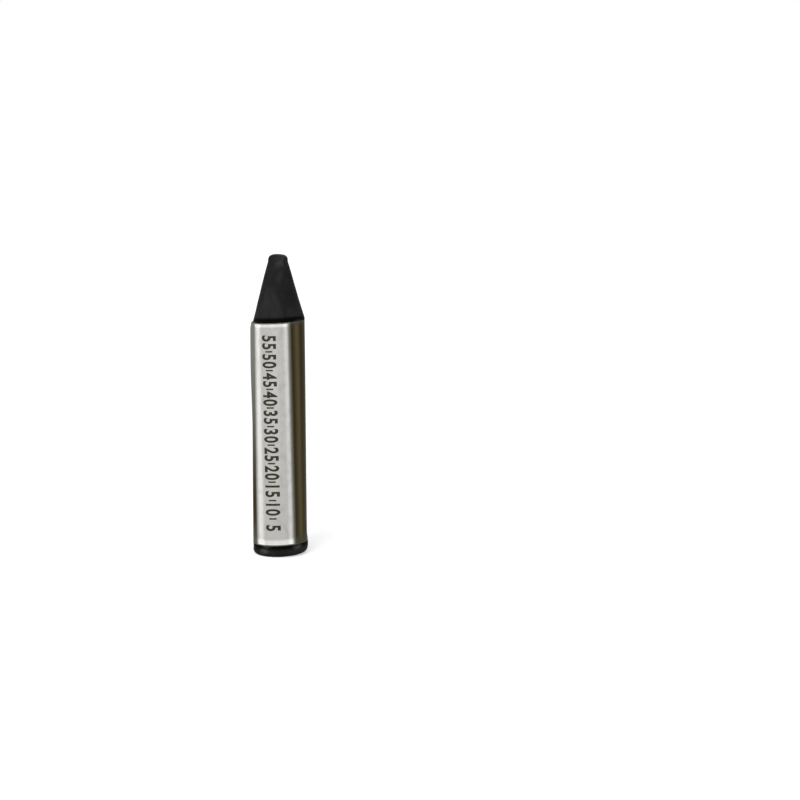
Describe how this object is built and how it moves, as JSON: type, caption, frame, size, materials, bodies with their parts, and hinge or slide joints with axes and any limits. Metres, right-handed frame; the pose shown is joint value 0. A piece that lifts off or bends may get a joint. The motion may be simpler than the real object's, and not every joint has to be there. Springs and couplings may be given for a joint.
{
  "type": "wax filler stick",
  "caption": "Furniture touch-up stick: a dark cast-wax crayon with a blunt cone and an exposed heel, in a lapped brown paper wrap with a silver panel down its front.",
  "frame": {"origin": "middle of the flat heel that the stick stands on", "axes": "+Z along the stick from the heel to the nose; -Y is the front, through the middle of the silver panel; +X is to the right seen from the front"},
  "size_m": [0.0149, 0.0148, 0.081],
  "materials": {
    "wax": "satin",
    "wrap_paper": "satin",
    "glue": "satin",
    "silver_foil": "satin"
  },
  "bodies": {
    "root": {"wax_stick": "wax", "paper_wrap": "wrap_paper", "seam_glue": "glue", "silver_panel": "silver_foil"}
  },
  "joints": []
}
